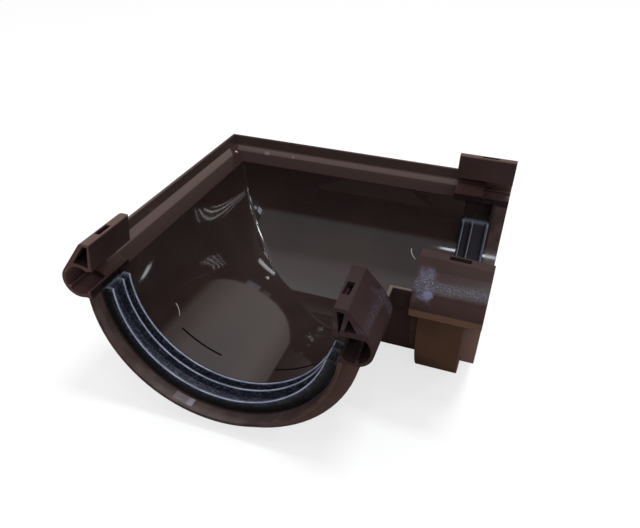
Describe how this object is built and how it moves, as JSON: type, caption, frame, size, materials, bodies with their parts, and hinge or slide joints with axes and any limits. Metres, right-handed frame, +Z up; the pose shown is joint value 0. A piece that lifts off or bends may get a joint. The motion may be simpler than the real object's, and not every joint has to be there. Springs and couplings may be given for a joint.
{
  "type": "gutter external angle",
  "caption": "Right-angled half-round gutter corner with a union socket on each arm: lipped rubber seals in grooves and hollow clip heads over both gutter edges.",
  "frame": {"origin": "where the centre lines of the two troughs cross, at the height of the rim tops", "axes": "+Z up; one arm runs along -Y and the other along +X; the corner points to -X +Y"},
  "size_m": [0.1672, 0.1672, 0.0832],
  "materials": {
    "brown_pvc": "glossy dark brown moulding, matt and lightly scuffed on the clip heads",
    "black_rubber": "smooth blue-black rubber with bright lip edges"
  },
  "bodies": {
    "root": {"corner_moulding": "brown_pvc", "lip_seal_left_arm": "black_rubber", "lip_seal_right_arm": "black_rubber"}
  },
  "joints": []
}
